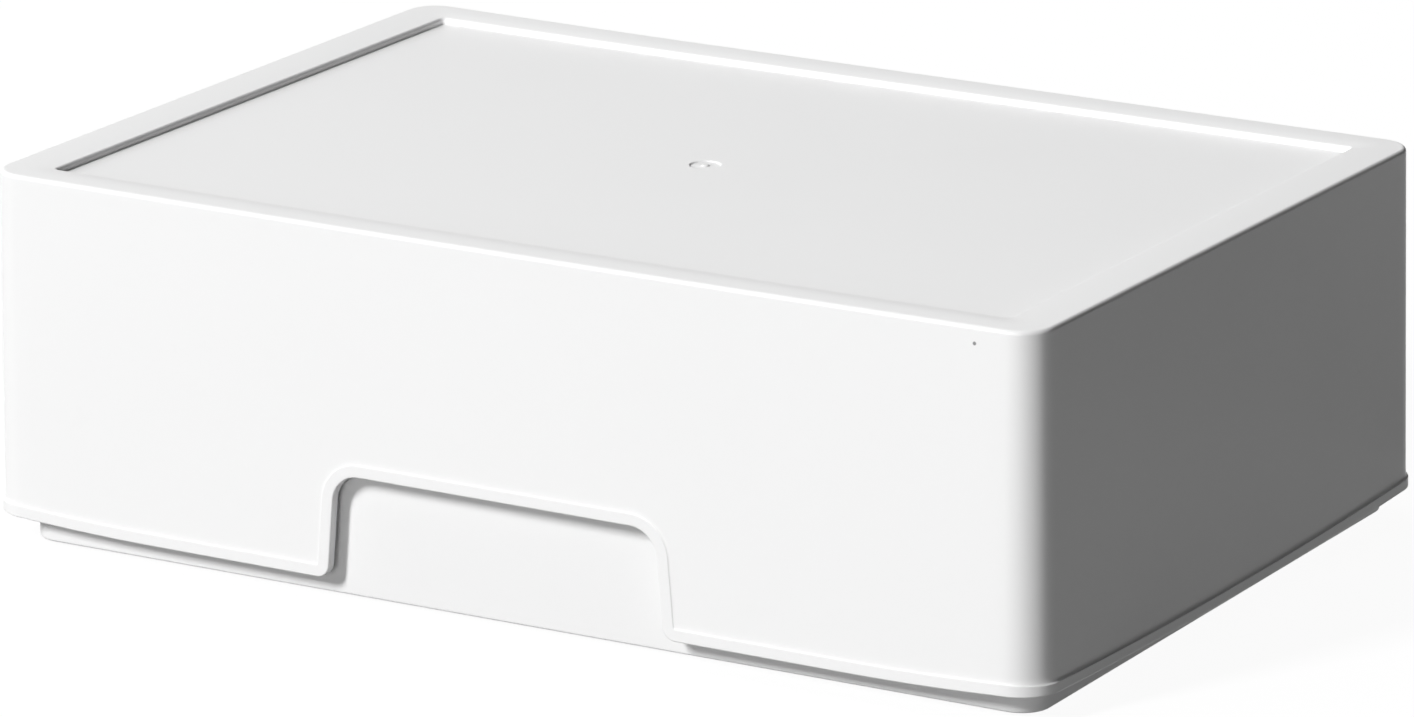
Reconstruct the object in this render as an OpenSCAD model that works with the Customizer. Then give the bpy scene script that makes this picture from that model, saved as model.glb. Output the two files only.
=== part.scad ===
// Stackable box with a deep cover that lifts straight off it.
// The origin is the centre of the footprint, on the face that the box stands on.
// X runs along the width, the finger notch faces -Y, and Z points up.

/* [Cover] */
// Width of the cover over its bottom flange
cover_w = 300; // [240:1:360]
// Depth of the cover over its bottom flange
cover_d = 202; // [160:1:260]
// Height of the cover from its bottom edge to its top rim
cover_h = 89.5; // [70:0.5:120]
// Thickness of the cover's walls
cover_wall = 2.4; // [1.8:0.1:3]
// Thickness of the cover's top
cover_top = 2.4; // [1.8:0.1:3]
// How far each wall leans in from its bottom to its top, so that it leaves the mould
cover_lean = 1.4; // [0.6:0.1:2]
// Radius of the upright corners at the top
corner_r = 8.6; // [6:0.1:12]
// Radius of the outer top edge
top_edge_r = 1.3; // [0.6:0.1:2]

/* [Flange] */
// Height of the stiffening flange along the cover's bottom edge and round the notch
flange_h = 3.4; // [2.6:0.1:4.6]
// How far the flange stands out from the wall
flange_out = 0.7; // [0.4:0.1:2]

/* [Stacking recess] */
// Depth of the recess below the rim
recess_depth = 2; // [1.6:0.1:3]
// Gap between the recess's step under the top and the box's wall, at the left and the right
step_gap_side = 3.8; // [0.3:0.1:6]
// Gap between the recess's step under the top and the box's wall, at the front and the back
step_gap_front = 2.5; // [0.3:0.1:8]
// Radius of the recess's corners, seen from above
recess_corner_r = 1.5; // [0.8:0.1:4]
// Diameter of the moulding gate's dimple in the middle of the recess
gate_d = 8; // [5:0.5:12]
// Depth of the gate's dimple
gate_depth = 0.4; // [0.2:0.1:0.8]
// Diameter of the nub that is left in the dimple
nub_d = 2; // [1:0.1:3]

/* [Finger notch] */
// Width of the notch at its top, between the flared sides
notch_w = 91; // [70:1:120]
// Height of the notch above the cover's bottom edge
notch_h = 27; // [18:1:40]
// Angle by which each side of the notch flares out towards the bottom
notch_flare = 6; // [0:0.5:12]
// Radius of the notch's top corners
notch_top_r = 7.5; // [4:0.5:10]
// Radius where the sides of the notch meet the cover's bottom edge
notch_foot_r = 3; // [1:0.5:4]

/* [Box] */
// Gap between the box and the cover's wall at the front and the back
gap_front = 1.6; // [0.3:0.1:3]
// Gap between the box and the cover's wall at the left and the right
gap_side = 2.5; // [0.4:0.1:4]
// Thickness of the box's walls at their top
box_wall = 2; // [1.6:0.1:2.8]
// How much thicker each wall is at its foot, so that the box leaves the mould
box_draft = 0.5; // [0.2:0.1:0.8]
// Thickness of the box's floor
box_floor = 2.2; // [1.6:0.1:3]
// Radius of the box's upright corners
box_corner_r = 3.5; // [2:0.1:6]
// Radius of the box's outer bottom edge
box_edge_r = 1.2; // [0.5:0.1:1.8]
// Radius of the box's inner corners and of the edge round its floor
box_inner_r = 2.5; // [1:0.1:4]
// Height of the box's foot that shows below the cover
foot_show = 4.5; // [3:0.1:8]

/* [Stacking foot] */
// How far the foot stays off the floor of the recess that it sinks into
foot_rest = 0.5; // [0.2:0.1:0.8]
// Clearance between the foot and the walls of that recess
foot_gap = 0.8; // [0.4:0.1:2]

/* [Hidden] */
$fn = 96;
eps = 0.01;
over = 5;
// The notch's rounded corners are this much larger than the sides that they run into, so
// that their edges cross instead of only touching
blend = 0.004;

// Heights
foot_h = recess_depth - foot_rest;
cover_z = foot_h + foot_show;
rim_z = cover_z + cover_h;
seat_z = rim_z - cover_top;
panel_z = rim_z - recess_depth;

// The cover's walls: their radius about a corner's axis, and the angle by which they lean
foot_r = corner_r + cover_lean;
lean_angle = atan(cover_lean / cover_h);
cover_cx = cover_w / 2 - flange_out - foot_r;
cover_cy = cover_d / 2 - flange_out - foot_r;
function wall_r(z) = foot_r - cover_lean * z / cover_h;

// The box stands inside the narrow upper end of the cover
box_x = cover_cx + corner_r - cover_wall - gap_side;
box_y = cover_cy + corner_r - cover_wall - gap_front;

// The step that the recess makes under the top reaches into the mouth of the box
step_x = box_x - box_wall - step_gap_side;
step_y = box_y - box_wall - step_gap_front;
step_z = panel_z - cover_top;
recess_x = step_x - cover_wall;
recess_y = step_y - cover_wall;
step_corner_r = recess_corner_r + cover_wall;

// The stacking foot, and the sunken part of the floor above it
foot_x = recess_x - foot_gap;
foot_y = recess_y - foot_gap;
foot_corner_r = recess_corner_r;
sink_x = foot_x - box_floor;
sink_y = foot_y - box_floor;

// A body with rounded corners, made of four quarter turns and the straight stretches
// between them. Its child is the section in (distance from a corner's axis, height),
// and is as high as z0 to z1 at the axis.
module rounded_body(cx, cy, z0, z1) {
    for (corner = [[1, 1, 0], [-1, 1, 90], [-1, -1, 180], [1, -1, 270]])
        translate([corner[0] * cx, corner[1] * cy, 0])
            rotate([0, 0, corner[2]])
                rotate_extrude(angle = 90)
                    children(0);
    for (side = [0, 180])
        rotate([0, 0, side]) {
            translate([cx, cy, 0])
                rotate([90, 0, 0])
                    linear_extrude(2 * cy)
                        children(0);
            translate([-cx, cy, 0])
                rotate([90, 0, 90])
                    linear_extrude(2 * cx)
                        children(0);
        }
    translate([-cx, -cy, z0])
        cube([2 * cx, 2 * cy, z1 - z0]);
}

// A plain block with rounded upright corners
module rounded_block(half_x, half_y, r, z0, z1) {
    rounded_body(half_x - r, half_y - r, z0, z1)
        translate([0, z0])
            square([r, z1 - z0]);
}

// Section of the cover's outside: the leaning wall, its flange and its rounded top edge
module cover_section() {
    edge_x = corner_r + cover_lean * top_edge_r / cover_h - top_edge_r / cos(lean_angle);
    edge_z = cover_h - top_edge_r;
    polygon([
        [0, 0],
        [foot_r + flange_out, 0],
        [wall_r(flange_h) + flange_out, flange_h],
        [wall_r(flange_h), flange_h],
        [edge_x + top_edge_r * cos(lean_angle), edge_z + top_edge_r * sin(lean_angle)],
        [edge_x, edge_z],
        [edge_x, cover_h],
        [0, cover_h]
    ]);
    intersection() {
        translate([edge_x, edge_z])
            circle(r = top_edge_r);
        translate([0, edge_z])
            square([foot_r, top_edge_r]);
    }
}

// Section of the hollow inside the cover, which is open at the bottom
module hollow_section() {
    hollow_h = cover_h - cover_top;
    polygon([
        [0, -over],
        [foot_r - cover_wall, -over],
        [foot_r - cover_wall, 0],
        [wall_r(hollow_h) - cover_wall, hollow_h],
        [0, hollow_h]
    ]);
}

// Outline of the notch on the front wall, in (x, height above the cover's bottom edge).
// grow widens it all round, for the lip that frames it.
module notch_outline(grow) {
    top = notch_h + grow;
    r = notch_top_r + grow;
    top_half = notch_w / 2 + grow / cos(notch_flare) - grow * tan(notch_flare);
    centre_x = top_half + r * tan(notch_flare) - r / cos(notch_flare);
    centre_z = top - r;
    side_x = centre_x + r * cos(notch_flare);
    side_z = centre_z + r * sin(notch_flare);
    low_half = top_half + (top + over) * tan(notch_flare);
    polygon([
        [-low_half, -over],
        [-side_x, side_z],
        [-centre_x, centre_z],
        [-centre_x, top],
        [centre_x, top],
        [centre_x, centre_z],
        [side_x, side_z],
        [low_half, -over]
    ]);
    for (s = [-1, 1])
        translate([s * centre_x, centre_z])
            circle(r = r + blend);
}

// What the rounding at the foot of the notch takes off, on the right-hand side
module notch_foot_round() {
    r = notch_foot_r;
    foot_half = notch_w / 2 + notch_h * tan(notch_flare);
    centre_x = foot_half + r / cos(notch_flare) - r * tan(notch_flare);
    difference() {
        polygon([
            [foot_half + over * tan(notch_flare), -over],
            [centre_x - r * cos(notch_flare), r - r * sin(notch_flare)],
            [centre_x, r],
            [centre_x, -over]
        ]);
        translate([centre_x, r])
            circle(r = r + blend);
    }
}

// Stands a flat outline up in the front wall's leaning plane, so that its back is depth
// behind the wall's outer face and its front is height in front of it
module on_front_wall(depth, height) {
    translate([0, -(cover_cy + foot_r), 0])
        rotate([90 - lean_angle, 0, 0])
            translate([0, 0, -depth])
                linear_extrude(depth + height)
                    children();
}

// The cover, drawn with its bottom edge at height 0
module cover_shell() {
    difference() {
        union() {
            rounded_body(cover_cx, cover_cy, 0, cover_h)
                cover_section();
            on_front_wall(cover_wall / 2, flange_out * cos(lean_angle))
                intersection() {
                    notch_outline(flange_h);
                    translate([-cover_w / 2, flange_h / 2])
                        square([cover_w, cover_h]);
                }
        }
        difference() {
            rounded_body(cover_cx, cover_cy, -over, cover_h - cover_top)
                hollow_section();
            rounded_block(step_x, step_y, step_corner_r, step_z - cover_z, cover_h);
        }
        rounded_block(recess_x, recess_y, recess_corner_r, cover_h - recess_depth, cover_h + over);
        on_front_wall(cover_wall + over, flange_out + over) {
            notch_outline(0);
            notch_foot_round();
            mirror([1, 0])
                notch_foot_round();
        }
        difference() {
            translate([0, 0, cover_h - recess_depth - gate_depth])
                cylinder(d = gate_d, h = recess_depth);
            translate([0, 0, cover_h - recess_depth - gate_depth - eps])
                cylinder(d = nub_d, h = gate_depth);
        }
    }
}

module slip_over_cover() {
    color("white")
        translate([0, 0, cover_z])
            cover_shell();
}

// Section of the box's outside, with its rounded bottom edge
module box_section() {
    r = box_corner_r;
    e = box_edge_r;
    translate([0, foot_h + e])
        square([r, seat_z - foot_h - e]);
    translate([0, foot_h])
        square([r - e, e]);
    intersection() {
        translate([r - e, foot_h + e])
            circle(r = e);
        translate([r - e, foot_h])
            square([e, e]);
    }
}

// Section of the space inside the box: drafted walls and a rounded edge round the floor
module space_section(floor_z) {
    r = box_inner_r;
    translate([0, floor_z + r])
        polygon([
            [0, 0],
            [r, 0],
            [r + box_draft, seat_z - floor_z - r],
            [r + box_draft, seat_z - floor_z - r + over],
            [0, seat_z - floor_z - r + over]
        ]);
    intersection() {
        translate([0, floor_z + r])
            circle(r = r);
        translate([0, floor_z])
            square([r, r]);
    }
}

module inner_box() {
    floor_z = foot_h + box_floor;
    space_cx = box_x - box_wall - box_draft - box_inner_r;
    space_cy = box_y - box_wall - box_draft - box_inner_r;
    color("whitesmoke")
        difference() {
            union() {
                rounded_body(box_x - box_corner_r, box_y - box_corner_r, foot_h, seat_z)
                    box_section();
                rounded_block(foot_x, foot_y, foot_corner_r, 0, foot_h + box_floor / 2);
            }
            rounded_body(space_cx, space_cy, floor_z, seat_z + over)
                space_section(floor_z);
            rounded_block(sink_x, sink_y, foot_corner_r, box_floor, floor_z + eps);
        }
}

inner_box();
slip_over_cover();
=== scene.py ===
import math

import bmesh
import bpy
import numpy as np
from mathutils import Matrix, Vector


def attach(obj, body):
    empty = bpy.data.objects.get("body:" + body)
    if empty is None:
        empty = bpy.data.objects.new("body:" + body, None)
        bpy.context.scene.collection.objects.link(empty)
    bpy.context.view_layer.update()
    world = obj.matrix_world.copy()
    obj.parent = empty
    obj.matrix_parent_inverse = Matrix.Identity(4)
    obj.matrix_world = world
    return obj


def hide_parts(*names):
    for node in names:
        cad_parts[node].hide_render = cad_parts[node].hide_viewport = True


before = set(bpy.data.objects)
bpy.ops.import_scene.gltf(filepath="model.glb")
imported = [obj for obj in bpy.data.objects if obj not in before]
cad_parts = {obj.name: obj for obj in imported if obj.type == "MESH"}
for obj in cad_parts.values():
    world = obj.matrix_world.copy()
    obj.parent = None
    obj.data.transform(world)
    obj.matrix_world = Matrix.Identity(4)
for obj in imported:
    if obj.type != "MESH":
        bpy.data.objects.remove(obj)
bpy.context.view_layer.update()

MM = 0.001

# ---------------------------------------------------------------------------------------
# Cover
# The deep cover is one injection moulding in satin white plastic, open underneath. It slips
# over the box and rests on it by its own weight. A flange stiffens its bottom edge and runs
# on round the finger notch, and its top is sunk so that the foot of the next box sits in it.
# ---------------------------------------------------------------------------------------

cover_foot = 6.0          # height of the cover's bottom edge above the table
cover_h = 89.5
wall = 2.4
corner_x, corner_y = 139.3, 90.3      # axes of the upright corners
foot_radius = 10.0        # radius of the upright corners at the bottom edge
cover_lean = 1.4          # how far the walls lean in over their height
lean_angle = math.atan(cover_lean / cover_h)

# The flange, and the notch that it runs round
flange_out = 0.7          # how far the flange stands out at the sides
front_share = 0.48        # how far it stands out in front and behind, as a share of flange_out
flange_low_r = 0.4        # rounding of its lower outer edge
flange_face = 1.4         # height of the middle of its face
band_end = 5.2            # how far from the bottom edge the wall's plain part begins
notch_half, notch_h = 45.5, 27.0      # half the notch's width at its top, and its height
notch_flare = math.radians(5)
notch_top_r, notch_foot_r = 7.5, 3.5
notch_least_r = 0.5       # least radius of a line round the notch's foot

# The flange's lip in front and behind, and at the sides. Each has its height, its rounding,
# the height of the hollow over it, and the share of the flange's reach that the hollow takes.
front_lip = (3.2, 0.4, 1.3, 0.6)
side_lip = (2.65, 0.15, 1.85, 0.85)

# The inside of the walls, and the rounding between their outer face and the rim
inner_edge_r = 0.4
under_edge = 0.6          # where a ring lies under the bottom edge, in from the outer face
inner_fillet = 0.3
top_edge_r = 1.1

# The top. An outline is half a width, half a depth and the radius of the corners.
upright = (corner_x, corner_y, 0.0)   # the corners' axes, to be grown out to a wall's face
recess = (134.8, 88.0, 1.5)
recess_depth, recess_edge_r, recess_fillet = 2.0, 0.9, 0.4
rim_fall = 0.25           # how far the rim falls towards the recess
rim_level = 0.4           # share of the rim's width that stays level
top_thickness = 2.4
plug = (137.2, 90.4, 3.9)             # the step under the top, which plugs the box's mouth
plug_edge_r, plug_fillet = 0.5, 0.4
hub_r, hub_inner_r = 3.0, 0.5         # the two smallest rings in the middle of the underside
gate_r, gate_depth, nub_r = 4.0, 0.4, 1.0

# How far past a rounding the next ring lies, which keeps what is flat beside it flat
hold, wide_hold, inner_hold, rim_hold = 0.15, 0.2, 0.18, 0.1

# The small faults of a thin moulding
corner_drawn = 2.0        # how far the back left corner is drawn out of square
drawn_from, drawn_over, drawn_power = 60.0, 87.0, 1.5     # where it begins, and how it grows
front_bow = 0.9           # how far the front wall bulges in the middle of its top
corner_lift = 1.2         # how far the bottom edge rises at the corners
lift_reach = 40.0         # how far from a corner that rise begins, in front and behind
side_sag = 0.5            # how far the right-hand side hangs lower in its middle
sag_over = 6.0            # how far past the corners' axes it reaches its full amount

# Steps of the mesh round the bottom edge. Half the front has its steps along the notch's top,
# round its bend, down its side, round its foot and out to the corner.
top_steps, bend_steps, down_steps, foot_steps, out_steps = 10, 14, 6, 10, 12
corner_steps, side_steps, back_steps = 16, 20, 30


def wall_radius(height):
    """Radius of the cover's outside about its corner axes, at a height above its bottom edge."""
    return foot_radius - cover_lean * height / cover_h


def spread(start, end, steps):
    """Numbers from start to end, the end left out."""
    return [start + (end - start) * i / steps for i in range(steps)]


def front_half(off):
    """The line that runs at a distance off from the cover's bottom edge, from the middle of
    the front wall over the notch and down its side to the right-hand corner."""
    normal = (math.cos(notch_flare), math.sin(notch_flare))
    side = notch_half * normal[0] + notch_h * normal[1]
    high_z = notch_h - notch_top_r
    high_x = (side - notch_top_r - high_z * normal[1]) / normal[0]
    high_r = notch_top_r + off
    low_r = max(notch_foot_r - off, notch_least_r)
    low_z = off + low_r
    low_x = (side + off + low_r - low_z * normal[1]) / normal[0]
    line = [(high_x * t, notch_h + off) for t in spread(0, 1, top_steps)]
    for angle in spread(math.pi / 2, notch_flare, bend_steps):
        line.append((high_x + high_r * math.cos(angle), high_z + high_r * math.sin(angle)))
    start = (high_x + high_r * normal[0], high_z + high_r * normal[1])
    end = (low_x - low_r * normal[0], low_z - low_r * normal[1])
    for t in spread(0, 1, down_steps):
        line.append((start[0] + (end[0] - start[0]) * t, start[1] + (end[1] - start[1]) * t))
    for angle in spread(math.pi + notch_flare, 1.5 * math.pi, foot_steps):
        line.append((low_x + low_r * math.cos(angle), low_z + low_r * math.sin(angle)))
    line += [(low_x + (corner_x - low_x) * t, off) for t in spread(0, 1, out_steps)]
    return line + [(corner_x, off)]


def front_line(off):
    """front_half and its mirror image, from the left-hand corner to the right-hand one."""
    half = front_half(off)
    return np.array([(-u, v) for u, v in half[:0:-1]] + half)


# Columns of the mesh, anticlockwise from the front left corner: each is a share of the way
# to a corner's axis, and the direction in which the wall faces there. The front line holds the
# first column of the first corner and the last column of the last one.
columns = [(u / corner_x, -1.0, 0.0, -1.0) for u, v in front_line(0.0)]
front_count = len(columns)
for turn, (sx, sy) in enumerate([(1, -1), (1, 1), (-1, 1), (-1, -1)]):
    first, last = (1 if turn == 0 else 0), (corner_steps - 1 if turn == 3 else corner_steps)
    for i in range(first, last + 1):
        angle = math.radians(90 * (turn - 1) + 90 * i / corner_steps)
        columns.append((sx, sy, math.cos(angle), math.sin(angle)))
    if turn == 0:
        columns += [(1.0, -1 + 2 * i / side_steps, 1.0, 0.0) for i in range(1, side_steps)]
    if turn == 1:
        columns += [(1 - 2 * i / back_steps, 1.0, 0.0, 1.0) for i in range(1, back_steps)]
    if turn == 2:
        columns += [(-1.0, 1 - 2 * i / side_steps, -1.0, 0.0) for i in range(1, side_steps)]
columns = np.array(columns)

# How much each column faces sideways, and how far the flange stands out of the wall in it
sideways = columns[:, 2] ** 2
reach_out = flange_out * (front_share + (1 - front_share) * sideways)


def rectangle(outline, by, height):
    """A level ring of the mesh: an outline grown by a distance all round."""
    half_x, half_y, radius = (size + by for size in outline)
    x = columns[:, 0] * (half_x - radius) + columns[:, 2] * radius
    y = columns[:, 1] * (half_y - radius) + columns[:, 3] * radius
    return np.column_stack([x, y, np.full(len(x), cover_foot + height)])


def wall_line(off):
    """The bottom edge's line at a distance off, as a place along the wall and a height for
    each column."""
    u, v = columns[:, 0] * corner_x, np.full(len(columns), off)
    u[:front_count], v[:front_count] = front_line(off).T
    return u, v


def on_wall(u, v, out):
    """The ring through places along the wall and heights, out from the wall's outer face."""
    reach = wall_radius(v) + out
    x = u + columns[:, 2] * reach
    y = columns[:, 1] * corner_y + columns[:, 3] * reach
    return np.column_stack([x, y, cover_foot + v])


def wall_ring(off, inset, share=0.0, side_off=None, side_share=None):
    """A ring of the wall that stays a distance off from the bottom edge, also round the
    notch. It lies in from the wall's outer face, and out by a share of the flange's reach.
    The distance and the share can be others at the sides."""
    u, v = wall_line(off)
    if side_off is not None:
        v += (side_off - off) * sideways
        share = share + (side_share - share) * sideways
    return on_wall(u, v, share * reach_out - inset)


def plain_ring(share, out, top):
    """A ring of the wall's plain part, a share of the way from the band to height top. The
    columns fan out of the band round the notch until they are spaced evenly."""
    u, v = wall_line(band_end)
    steps = np.hypot(np.diff(u[:front_count]), np.diff(v[:front_count]))
    run = np.concatenate([[0], np.cumsum(steps)])
    even = u.copy()
    even[:front_count] = corner_x * (2 * run / run[-1] - 1)
    return on_wall(u + (even - u) * share, v + (top - v) * share, out)


def circle_ring(radius, height):
    """A level ring round the middle of the top, with each column in its own direction."""
    x, y = columns[:, 0] * recess[0], columns[:, 1] * recess[1]
    length = np.hypot(x, y)
    height = np.full(len(x), cover_foot + height)
    return np.column_stack([x / length * radius, y / length * radius, height])


def between(ring_a, ring_b, shares):
    """Rings on the way from one ring to the next."""
    return [ring_a + (ring_b - ring_a) * share for share in shares]


def arc(steps, start, end):
    """(cosine, sine) along an arc, in degrees, both ends included."""
    return [(math.cos(a), math.sin(a)) for a in np.radians(np.linspace(start, end, steps + 1))]


def rounded(ring, outline, by, height, radius, path):
    """Rings along a rounding. Its centre lies a distance out from an outline, at a height."""
    return [ring(outline, by + radius * c, height + radius * s) for c, s in path]


def lip_points(lip_h, lip_r, hollow_h, hollow_share):
    """Height and share of the reach, from the flange's face over the lip up to the wall."""
    points = [(lip_h - lip_r - hold, 1.0)]
    for c, s in arc(5, 0, 90):
        points.append((lip_h - lip_r * (1 - s), hollow_share + (1 - hollow_share) * c))
    for c, s in arc(8, 90, 0)[1:]:
        points.append((lip_h + hollow_h * (1 - s), hollow_share * (1 - c)))
    return points + [(lip_h + hollow_h + hold, 0.0)]


def closed_shell(name, rings):
    """A closed mesh through rings of equal count, with a point in the middle of each end."""
    count = len(rings[0])
    shell = bmesh.new()
    rows = [[shell.verts.new(Vector(p) * MM) for p in ring] for ring in rings]
    for low, high in zip(rows, rows[1:]):
        for i in range(count):
            j = (i + 1) % count
            shell.faces.new((low[i], low[j], high[j], high[i]))
    for row, ring in ((rows[0], rings[0]), (rows[-1], rings[-1])):
        middle = shell.verts.new(Vector(np.mean(ring, axis=0) * (0, 0, 1)) * MM)
        for i in range(count):
            shell.faces.new((row[i], row[(i + 1) % count], middle))
    bmesh.ops.recalc_face_normals(shell, faces=shell.faces)
    for face in shell.faces:
        face.smooth = True
    mesh = bpy.data.meshes.new(name)
    shell.to_mesh(mesh)
    shell.free()
    piece = bpy.data.objects.new(name, mesh)
    bpy.context.scene.collection.objects.link(piece)
    return piece


# Underside of the top, from its middle out and up over the step that plugs the box's mouth
panel = cover_h - recess_depth
panel_low = panel - top_thickness
rim_low = cover_h - top_thickness
hub = circle_ring(hub_r, panel_low)
rings = [circle_ring(hub_inner_r, panel_low), hub]
rings += between(hub, rectangle(plug, -plug_edge_r, panel_low),
                 (0.08, 0.2, 0.35, 0.5, 0.65, 0.8, 0.92, 0.985))
rings += rounded(rectangle, plug, -plug_edge_r, panel_low + plug_edge_r, plug_edge_r,
                 arc(6, -90, 0))
rings.append(rectangle(plug, 0, rim_low - plug_fillet - wide_hold))
rings += rounded(rectangle, plug, plug_fillet, rim_low - plug_fillet, plug_fillet,
                 arc(5, 180, 90))

# Underside of the rim, and down the inside of the walls
inner_top = rim_low - inner_fillet
inner_reach = wall_radius(rim_low) - wall - inner_fillet
rings.append(rectangle(upright, inner_reach - inner_hold, rim_low))
rings += rounded(rectangle, upright, inner_reach, inner_top, inner_fillet, arc(4, 90, 0))
for share in (0.995, 0.85, 0.65, 0.45, 0.25, 0.1, 0.02, 0):
    rings.append(plain_ring(share, -wall, inner_top))
for off in (4.2, 3.4, 2.6, 1.8, 1.1, inner_edge_r + hold):
    rings.append(wall_ring(off, wall))

# Round the bottom edge, up the flange's face, over its lip and through the hollow to the wall
for c, s in arc(5, 180, 270):
    rings.append(wall_ring(inner_edge_r * (1 + s), wall - inner_edge_r * (1 + c)))
rings.append(wall_ring(0.0, under_edge))
rings.append(wall_ring(0.0, flange_low_r + hold, 1.0))
for c, s in arc(7, -90, 0):
    rings.append(wall_ring(flange_low_r * (1 + s), flange_low_r * (1 - c), 1.0))
rings.append(wall_ring(flange_low_r + hold, 0.0, 1.0))
rings.append(wall_ring(flange_face, 0.0, 1.0))
for ahead, beside in zip(lip_points(*front_lip), lip_points(*side_lip)):
    rings.append(wall_ring(ahead[0], 0.0, ahead[1], *beside))

# Up the outside of the walls and over the rounded top edge
edge_reach = wall_radius(cover_h - top_edge_r) - top_edge_r / math.cos(lean_angle)
edge_low = cover_h - top_edge_r
for share in (0, 0.03, 0.12, 0.28, 0.45, 0.62, 0.78, 0.9, 0.98, 0.997):
    rings.append(plain_ring(share, 0.0, edge_low + top_edge_r * math.sin(lean_angle)))
rings += rounded(rectangle, upright, edge_reach, edge_low, top_edge_r,
                 arc(8, math.degrees(lean_angle), 90))

# Across the rim, which falls a little towards its inner edge, and down into the recess
rim_high = cover_h - rim_fall
rim_out = rectangle(upright, edge_reach - wide_hold, cover_h)
rim_in = rectangle(recess, recess_edge_r + rim_hold, rim_high)
for share in (0, 0.2, 0.4, 0.5, 0.6, 0.7, 0.8, 0.9, 1):
    fallen = (max(share - rim_level, 0) / (1 - rim_level)) ** 2
    rings.append(rim_out + (rim_in - rim_out) * (share, share, fallen))
rings += rounded(rectangle, recess, recess_edge_r, rim_high - recess_edge_r, recess_edge_r,
                 arc(6, 90, 180))
rings += rounded(rectangle, recess, -recess_fillet, panel + recess_fillet, recess_fillet,
                 arc(6, 0, -90))
panel_ring = rectangle(recess, -recess_fillet - wide_hold, panel)
rings.append(panel_ring)
rings += between(panel_ring, circle_ring(gate_r + 0.4, panel),
                 (0.03, 0.1, 0.22, 0.36, 0.5, 0.64, 0.77, 0.88, 0.96, 1))

# The moulding gate's dimple in the middle of the panel, with soft edges, and the nub that is
# left in it: radius and height of each ring
gate_floor = panel - gate_depth
gate_profile = [
    (gate_r + 0.1, panel),
    (gate_r, panel - 0.03),
    (gate_r - 0.12, panel - 0.12),
    (gate_r - 0.25, gate_floor + 0.1),
    (gate_r - 0.4, gate_floor + 0.02),
    (gate_r - 0.6, gate_floor),
    (nub_r + 0.2, gate_floor),
    (nub_r, gate_floor + 0.06),
    (nub_r - 0.08, panel - 0.14),
    (nub_r - 0.25, panel - 0.05),
    (nub_r - 0.6, panel - 0.03),
]
rings += [circle_ring(radius, height) for radius, height in gate_profile]

# A moulding as thin as this is never quite true. Its back left corner reaches back a little,
# and the front wall bulges. The free bottom edge rises at the corners and hangs lower at the
# right-hand side.
for ring in rings:
    x, y, z = ring.T.copy()
    upward = np.clip((z - cover_foot) / cover_h, 0, 1)
    leftward = np.clip((-x - drawn_from) / drawn_over, 0, 1) ** drawn_power
    ring[:, 1] += corner_drawn * leftward * np.clip(y / corner_y, 0, 1) * upward
    bulge = np.clip(1 - (x / corner_x) ** 2, 0, 1)
    ring[:, 1] -= front_bow * bulge * np.clip(-y / corner_y, 0, 1) * upward
    along_x = np.clip((corner_x - abs(x)) / lift_reach, 0, 1)
    along_y = np.clip((corner_y - abs(y)) / corner_y, 0, 1)
    near = (1 - np.clip(along_x + along_y, 0, 1)) ** 2
    rightward = np.clip((x - corner_x) / sag_over, 0, 1)
    ring[:, 2] += (corner_lift * near - side_sag * (1 - near) * rightward) * (1 - upward)

cover = closed_shell("slip_over_cover_moulding", rings)


class Wire:
    """One output of a node. Maths on wires is written as plain expressions, and each
    operation adds its Math node to the wire's own tree."""

    def __init__(self, socket):
        self.socket = socket

    @staticmethod
    def node(tree, kind, settings=None, inputs=None):
        """Adds a node, makes its settings, then fills or links its sockets."""
        made = tree.nodes.new(kind)
        for name, value in (settings or {}).items():
            setattr(made, name, value)
        for name, value in (inputs or {}).items():
            if isinstance(value, Wire):
                tree.links.new(value.socket, made.inputs[name])
            else:
                made.inputs[name].default_value = value
        return made

    @staticmethod
    def out(tree, kind, settings=None, inputs=None, output=0):
        """The wire out of a node that is added to a tree."""
        return Wire(Wire.node(tree, kind, settings, inputs).outputs[output])

    def get(self, kind, settings=None, inputs=None, output=0):
        """The wire out of a node that is added to this wire's tree."""
        return Wire.out(self.socket.id_data, kind, settings, inputs, output)

    def maths(self, operation, *values):
        inputs = dict(enumerate(values))
        return self.get("ShaderNodeMath", {"operation": operation}, inputs)

    def __add__(self, other):
        return self.maths("ADD", self, other)

    def __radd__(self, other):
        return self.maths("ADD", other, self)

    def __sub__(self, other):
        return self.maths("SUBTRACT", self, other)

    def __rsub__(self, other):
        return self.maths("SUBTRACT", other, self)

    def __mul__(self, other):
        return self.maths("MULTIPLY", self, other)

    def __rmul__(self, other):
        return self.maths("MULTIPLY", other, self)

    def __truediv__(self, other):
        return self.maths("DIVIDE", self, other)

    def maximum(self, other):
        return self.maths("MAXIMUM", self, other)

    def through(self, operation):
        """This wire through a Math node that takes one value, such as FLOOR or SINE."""
        return self.maths(operation, self)

    def ramp(self, start, end):
        """0 at start and 1 at end, eased and clamped."""
        settings = {"interpolation_type": "SMOOTHSTEP"}
        values = {"Value": self, "From Min": start, "From Max": end}
        return self.get("ShaderNodeMapRange", settings, values)

    def distance(self, point):
        """Distance of a place on the surface from a point given in mm, itself in mm."""
        inputs = {0: self, 1: Vector(point) * MM}
        near = self.get("ShaderNodeVectorMath", {"operation": "DISTANCE"}, inputs, "Value")
        return near / MM

    def noise(self, size, detail, seed):
        """Even noise from 0 to 1 with features of about that size in mm."""
        inputs = {"Vector": self, "W": seed, "Scale": 1 / (size * MM), "Detail": detail}
        return self.get("ShaderNodeTexNoise", {"noise_dimensions": "4D"}, inputs, "Fac")


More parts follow.
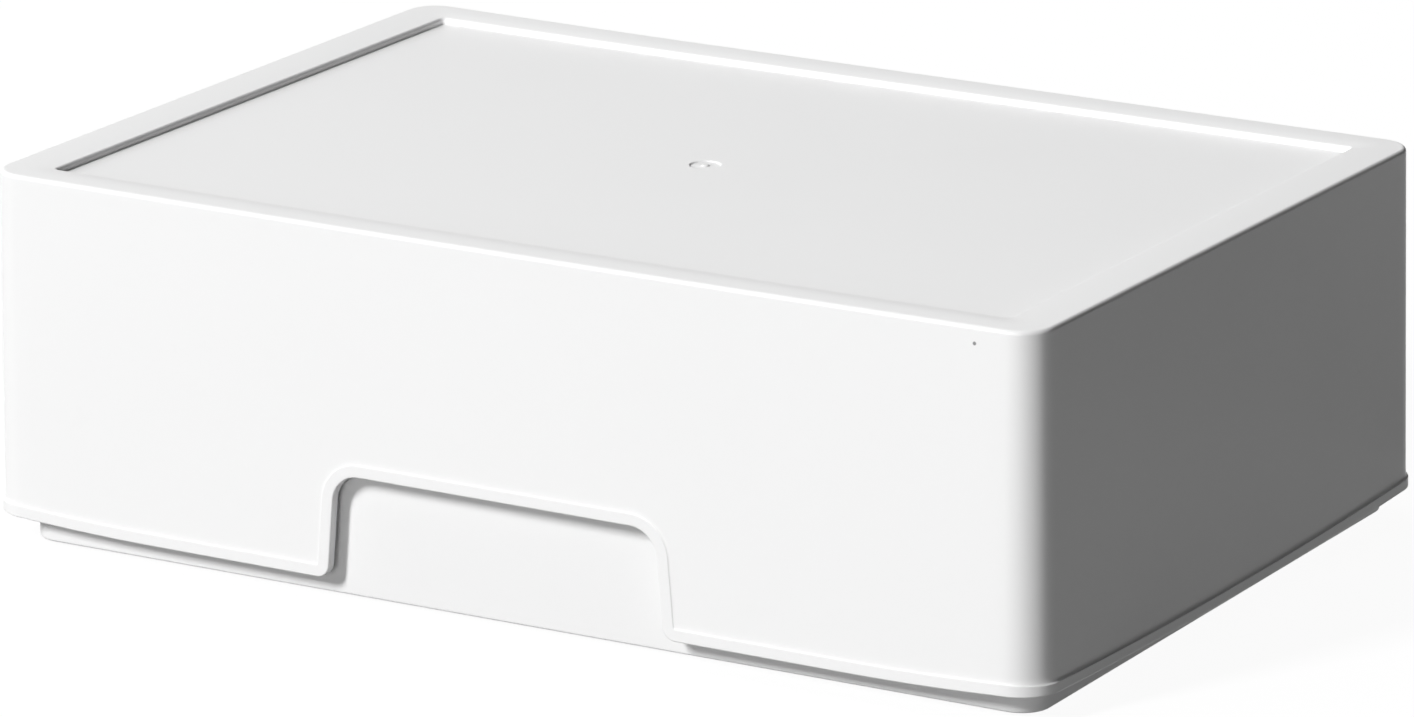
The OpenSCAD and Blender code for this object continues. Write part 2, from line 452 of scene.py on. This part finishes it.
def satin_white(name, grey, specks):
    """Satin white plastic: nearly even, with the faint unevenness of a moulding, a very fine
    mould texture, light handling marks, and any dark specks given as (point, radius)."""
    cloud_tone, mark_tone, speck_tone = 0.02, 0.008, 0.72     # how much each darkens
    roughness, cloud_rough, mark_rough = 0.34, 0.06, 0.05
    texture_strength, texture_depth, mark_depth = 0.12, 0.02, 0.3
    material = bpy.data.materials.new(name)
    material.use_nodes = True
    tree = material.node_tree
    tree.nodes.clear()
    place = Wire.out(tree, "ShaderNodeTexCoord", output="Object")
    cloud = place.noise(size=60, detail=2, seed=1)
    grain = place.noise(size=0.55, detail=3, seed=2)
    rubbed = place.noise(size=7, detail=4, seed=3).ramp(0.62, 0.78)
    handled = place.noise(size=45, detail=1, seed=4).ramp(0.5, 0.62)
    marks = rubbed * handled
    tone = 1 - (cloud - 0.5) * cloud_tone - marks * mark_tone
    for point, radius in specks:
        spot = place.distance(point).ramp(radius * 1.2, radius * 0.6)
        tone = tone * (1 - spot * speck_tone)
    # The mixed colour is output 2 of a Mix node
    paint = place.get("ShaderNodeMix", {"data_type": "RGBA"},
                      {"Factor": tone, "A": (0, 0, 0, 1), "B": (grey, grey, grey, 1)}, 2)
    bump = place.get("ShaderNodeBump", None, {
        "Strength": texture_strength,
        "Distance": texture_depth * MM,
        "Height": grain + marks * mark_depth,
    })
    plastic = Wire.out(tree, "ShaderNodeBsdfPrincipled", None, {
        "Base Color": paint,
        "Roughness": roughness + (cloud - 0.5) * cloud_rough + marks * mark_rough,
        "Normal": bump,
        "IOR": 1.47,
        "Specular IOR Level": 0.5,
    })
    Wire.node(tree, "ShaderNodeOutputMaterial", None, {"Surface": plastic})
    return material


speck_place, speck_r = (131.7, -99.0, 91.3), 0.5      # a dark speck near the front right corner
cover_plastic = satin_white("cover_satin_white", 0.87, [(speck_place, speck_r)])
cover.data.materials.append(cover_plastic)
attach(cover, "cover")
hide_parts("slip_over_cover")

# ---------------------------------------------------------------------------------------
# Box
# The low box under the cover is the part that holds things. It is one moulding in the same
# plastic, with drafted walls, a rounded bottom edge, and a shallow foot under its floor that
# sinks into the recess of the unit below.
# ---------------------------------------------------------------------------------------

box_outer = (142.7, 94.9, 7.5)
box_low, box_high = 0.9, 93.1
box_edge_r, box_lip_r = 0.6, 0.5
box_wall, box_draft, box_inner_r = 2.0, 0.5, 5.5
box_foot = (134.0, 87.2, 1.5)
box_foot_edge_r, box_foot_fillet, box_foot_hold = 0.4, 0.3, 0.05
box_floor = 2.2
sink_edge_r = 0.4
box_corner_steps = 10
box_slid = (1.3, -0.1, 0.0)           # how far the box has slid in its play
box_turned = math.radians(0.6)

# The outlines of its inside: the room over the floor, and the floor's sunk part over the foot
room = (box_outer[0] - box_wall - box_draft, box_outer[1] - box_wall - box_draft, box_inner_r)
sink = (box_foot[0] - box_floor, box_foot[1] - box_floor, box_foot[2])
floor_high = box_low + box_floor


def level(outline, by, height):
    """A level of the box, an outline grown by a distance all round: half its width, half its
    depth, the radius of its corners, and its height."""
    half_x, half_y, radius = (size + by for size in outline)
    return half_x, half_y, max(radius, 0.0), height


# The box's levels, from the middle of its underside round to the middle of its floor
levels = [
    (0, 0, 0, 0),
    level(box_foot, -box_foot_edge_r - hold, 0),
    *rounded(level, box_foot, -box_foot_edge_r, box_foot_edge_r, box_foot_edge_r,
             arc(5, -90, 0)),
    level(box_foot, 0, box_low - box_foot_fillet - box_foot_hold),
    *rounded(level, box_foot, box_foot_fillet, box_low - box_foot_fillet, box_foot_fillet,
             arc(4, 180, 90)),
    level(box_outer, -box_edge_r - hold, box_low),
    *rounded(level, box_outer, -box_edge_r, box_low + box_edge_r, box_edge_r, arc(8, -90, 0)),
    level(box_outer, 0, box_low + box_edge_r + hold),
    level(box_outer, 0, box_high - box_lip_r - hold),
    *rounded(level, box_outer, -box_lip_r, box_high - box_lip_r, box_lip_r, arc(5, 0, 90)),
    *rounded(level, room, box_draft + box_lip_r, box_high - box_lip_r, box_lip_r,
             arc(5, 90, 180)),
    level(room, box_draft, box_high - box_lip_r - hold),
    level(room, 0, floor_high + box_inner_r + hold),
    *rounded(level, room, -box_inner_r, floor_high + box_inner_r, box_inner_r, arc(8, 0, -90)),
    level(sink, sink_edge_r + hold, floor_high),
    *rounded(level, sink, sink_edge_r, floor_high - sink_edge_r, sink_edge_r, arc(5, 90, 180)),
    *rounded(level, sink, -sink_edge_r, box_floor + sink_edge_r, sink_edge_r, arc(5, 0, -90)),
    level(sink, -sink_edge_r - hold, box_floor),
    (0, 0, 0, box_floor),
]

section = bpy.data.meshes.new("box_levels")
section.from_pydata([Vector((x, y, z)) * MM for x, y, radius, z in levels], [], [])
radii = section.attributes.new("corner_radius", "FLOAT", "POINT")
radii.data.foreach_set("value", [radius * MM for x, y, radius, z in levels])
box = bpy.data.objects.new("inner_box_levels", section)
bpy.context.scene.collection.objects.link(box)


def new_tree(name, numbers):
    """An empty Geometry Nodes tree with a geometry input and the numbers as named inputs.
    Returns the tree and a dict of its inputs as wires."""
    tree = bpy.data.node_groups.new(name, "GeometryNodeTree")
    tree.interface.new_socket("Geometry", in_out="OUTPUT", socket_type="NodeSocketGeometry")
    tree.interface.new_socket("Geometry", in_out="INPUT", socket_type="NodeSocketGeometry")
    for label, kind in numbers:
        tree.interface.new_socket(label, in_out="INPUT", socket_type=kind)
    start = Wire.node(tree, "NodeGroupInput")
    return tree, {s.name: Wire(s) for s in start.outputs if s.name}


def end_tree(tree, geometry, material):
    """Ends a tree in Realize Instances and Set Material."""
    real = geometry.get("GeometryNodeRealizeInstances", None, {"Geometry": geometry})
    painted = real.get("GeometryNodeSetMaterial", None, {"Geometry": real, "Material": material})
    Wire.node(tree, "NodeGroupOutput", None, {"Geometry": painted})


def grown_mesh(base, tree, values, name):
    """Runs a tree on base with its named inputs set, and returns the result as a plain piece."""
    modifier = base.modifiers.new(name, "NODES")
    modifier.node_group = tree
    for item in tree.interface.items_tree:
        if item.in_out == "INPUT" and item.name in values:
            modifier[item.identifier] = values[item.name]
    bpy.context.view_layer.update()
    graph = bpy.context.evaluated_depsgraph_get()
    mesh = bpy.data.meshes.new_from_object(base.evaluated_get(graph))
    base.modifiers.remove(modifier)
    bpy.data.objects.remove(base)
    mesh.name = name
    piece = bpy.data.objects.new(name, mesh)
    bpy.context.scene.collection.objects.link(piece)
    return piece


def faces_out(piece, smooth_below):
    """Points the faces of a closed piece outwards and shades it smooth, but for edges that
    are sharper than an angle in degrees."""
    same_place = 1e-7
    work = bmesh.new()
    work.from_mesh(piece.data)
    bmesh.ops.remove_doubles(work, verts=work.verts, dist=same_place)
    bmesh.ops.dissolve_degenerate(work, edges=work.edges, dist=same_place)
    bmesh.ops.recalc_face_normals(work, faces=work.faces)
    for face in work.faces:
        face.smooth = True
    for edge in work.edges:
        edge.smooth = edge.calc_face_angle(0) < math.radians(smooth_below)
    work.to_mesh(piece.data)
    work.free()


# Every level of the box is a rectangle with rounded corners, so one grid is bent to fit them
# all: a row of points for each level, and a column for each step round the four corners
tree, given = new_tree("box_from_levels", [
    ("Levels", "NodeSocketInt"),
    ("Corner Steps", "NodeSocketInt"),
    ("Material", "NodeSocketMaterial"),
])
rows, steps = given["Levels"], given["Corner Steps"]
around = (steps + 1) * 4 + 1
grid = Wire.out(tree, "GeometryNodeMeshGrid", None,
                {"Size X": 1.0, "Size Y": 1.0, "Vertices X": around, "Vertices Y": rows},
                "Mesh")
here = Wire.out(tree, "GeometryNodeInputPosition")
split = Wire.node(tree, "ShaderNodeSeparateXYZ", None, {0: here})
column = ((Wire(split.outputs["X"]) + 0.5) * (around - 1)).through("ROUND")
row = ((Wire(split.outputs["Y"]) + 0.5) * (rows - 1)).through("ROUND")
quarter = (column / (steps + 1)).through("FLOOR")
turn = (quarter + (column - quarter * (steps + 1)) / steps) * (math.pi / 2)
middle_turn = (quarter + 0.5) * (math.pi / 2)

# The sizes of a point's own level are read from the levels' mesh
level_place = Wire.out(tree, "GeometryNodeInputPosition")
level_radius = Wire.out(tree, "GeometryNodeInputNamedAttribute", {"data_type": "FLOAT"},
                        {"Name": "corner_radius"})
half = here.get("GeometryNodeSampleIndex", {"data_type": "FLOAT_VECTOR"},
                {"Geometry": given["Geometry"], "Value": level_place, "Index": row})
radius = here.get("GeometryNodeSampleIndex", {"data_type": "FLOAT"},
                  {"Geometry": given["Geometry"], "Value": level_radius, "Index": row})
half = Wire.node(tree, "ShaderNodeSeparateXYZ", None, {0: half})
half_x, half_y, height = (Wire(half.outputs[axis]) for axis in "XYZ")
to_right = middle_turn.through("COSINE").through("SIGN")
to_back = middle_turn.through("SINE").through("SIGN")
bent = here.get("ShaderNodeCombineXYZ", None, {
    "X": to_right * (half_x - radius) + turn.through("COSINE") * radius,
    "Y": to_back * (half_y - radius) + turn.through("SINE") * radius,
    "Z": height,
})
shell = grid.get("GeometryNodeSetPosition", None, {"Geometry": grid, "Position": bent})
welded = shell.get("GeometryNodeMergeByDistance", None, {"Geometry": shell, "Distance": 1e-6})
end_tree(tree, welded, given["Material"])

box_plastic = satin_white("box_satin_white", 0.86, [])
box_sizes = {"Levels": len(levels), "Corner Steps": box_corner_steps, "Material": box_plastic}
box = grown_mesh(box, tree, box_sizes, "inner_box_moulding")
faces_out(box, smooth_below=60)

# The box has play inside the cover: it has slid a little to the right and turned
box.data.transform(Matrix.Translation(Vector(box_slid) * MM)
                   @ Matrix.Rotation(box_turned, 4, "Z"))
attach(box, "box")
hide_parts("inner_box")

# ---------------------------------------------------------------------------------------
# Floor
# A plain white table top under the box. To the eye and in a gloss it is white, with only a
# pale shadow, and it throws little light back up at the box.
# ---------------------------------------------------------------------------------------

floor_half = 30.0         # half its width, in metres
floor_bounce = 0.07       # how much light it throws back at the box
floor_grey = 0.9          # its own grey, where the shadow shows
floor_white, white_share = 1.03, 0.92     # the even white over it, and its share of the look

floor_mesh = bpy.data.meshes.new("floor")
floor_corners = [(x * floor_half, y * floor_half, 0)
                 for x, y in ((-1, -1), (1, -1), (1, 1), (-1, 1))]
floor_mesh.from_pydata(floor_corners, [], [(0, 1, 2, 3)])
floor = bpy.data.objects.new("floor", floor_mesh)
bpy.context.scene.collection.objects.link(floor)

table_top = bpy.data.materials.new("table_top")
table_top.use_nodes = True
tree = table_top.node_tree
tree.nodes.clear()


def matt(grey):
    """A matt look of the table top, in a grey."""
    return Wire.out(tree, "ShaderNodeBsdfDiffuse", None, {"Color": (grey, grey, grey, 1)})


# 1 for rays from the camera, or seen in a gloss or through glass, and 0 for the others
path = Wire.node(tree, "ShaderNodeLightPath")
camera_ray, gloss_ray, glass_ray = (Wire(path.outputs[name]) for name in (
    "Is Camera Ray", "Is Glossy Ray", "Is Transmission Ray"))
seen = camera_ray.maximum(gloss_ray).maximum(glass_ray)

white = Wire.out(tree, "ShaderNodeEmission", None, {"Strength": floor_white})
shown = seen.get("ShaderNodeMixShader", None, {0: white_share, 1: matt(floor_grey), 2: white})
surface = seen.get("ShaderNodeMixShader", None, {0: seen, 1: matt(floor_bounce), 2: shown})
Wire.node(tree, "ShaderNodeOutputMaterial", None, {"Surface": surface})
floor_mesh.materials.append(table_top)

# ---------------------------------------------------------------------------------------
# Light
# One lamp from the front left and above, and two soft patches of light on the room's walls:
# one high up behind the box on the left, and one straight in front. The rest of the room is
# dark, so the right-hand side gets little light.
# ---------------------------------------------------------------------------------------

lamp_far = 6.0            # distance of the lamp, in metres
patch_left, patch_front = 1.72, 7.2   # strengths of the two patches

lamp = bpy.data.lights.new("key_lamp", "AREA")
lamp.shape = "RECTANGLE"
lamp.size, lamp.size_y = 0.8, 1.6
lamp.energy = 345.0
key = bpy.data.objects.new("key_lamp", lamp)
beam = Vector((2.2, 5.5, -4.1)).normalized()
key.matrix_world = Matrix.LocRotScale(beam * -lamp_far, beam.to_track_quat("-Z", "Y"), None)
key.visible_camera = False
bpy.context.scene.collection.objects.link(key)

world = bpy.data.worlds.new("room")
bpy.context.scene.world = world
world.use_nodes = True
tree = world.node_tree
tree.nodes.clear()
toward = Wire.out(tree, "ShaderNodeTexCoord", output="Generated")


def glow(direction, start, end):
    """A soft patch of light centred in a direction. It fades in between two cosines of the
    angle from its middle."""
    near = toward.get("ShaderNodeVectorMath", {"operation": "DOT_PRODUCT"},
                      {0: toward, 1: Vector(direction).normalized()}, "Value")
    return near.ramp(start, end)


from_left = glow((-0.6, 0.5, 0.6), 0.7, 0.95) * patch_left
from_front = glow((0.24, -1.0, 0.0), 0.92, 0.985) * patch_front
sky = Wire.out(tree, "ShaderNodeBackground", None, {"Strength": from_left + from_front})
Wire.node(tree, "ShaderNodeOutputWorld", None, {"Surface": sky})

# ---------------------------------------------------------------------------------------
# Camera
# A long lens from the front right, a little above the box.
# ---------------------------------------------------------------------------------------

azimuth, elevation, roll = (math.radians(a) for a in (31.0652, 16.3727, -0.4203))
across, above, away = -0.0006, 0.1214, 6.8995     # its place along its own three axes
camera_unit = 0.2946      # metres for one unit of that place

back = Vector((math.sin(azimuth) * math.cos(elevation),
               -math.cos(azimuth) * math.cos(elevation), math.sin(elevation)))
right = Vector((math.cos(azimuth), math.sin(azimuth), 0))
up = back.cross(right)
axis_x = math.cos(roll) * right + math.sin(roll) * up
axis_y = math.cos(roll) * up - math.sin(roll) * right
place = (axis_x * across + axis_y * above + back * away) * camera_unit
lens = bpy.data.cameras.new("camera")
lens.lens = 205.83
lens.sensor_width = 36.0
lens.sensor_fit = "HORIZONTAL"
lens.clip_start, lens.clip_end = 0.05, 100.0
camera = bpy.data.objects.new("camera", lens)
bpy.context.scene.collection.objects.link(camera)
camera.matrix_world = Matrix.LocRotScale(
    place + Vector((0, 0, cover_foot * MM)),
    Matrix((axis_x, axis_y, back)).transposed(), None)
bpy.context.scene.camera = camera

bpy.context.scene.view_settings.view_transform = "Standard"
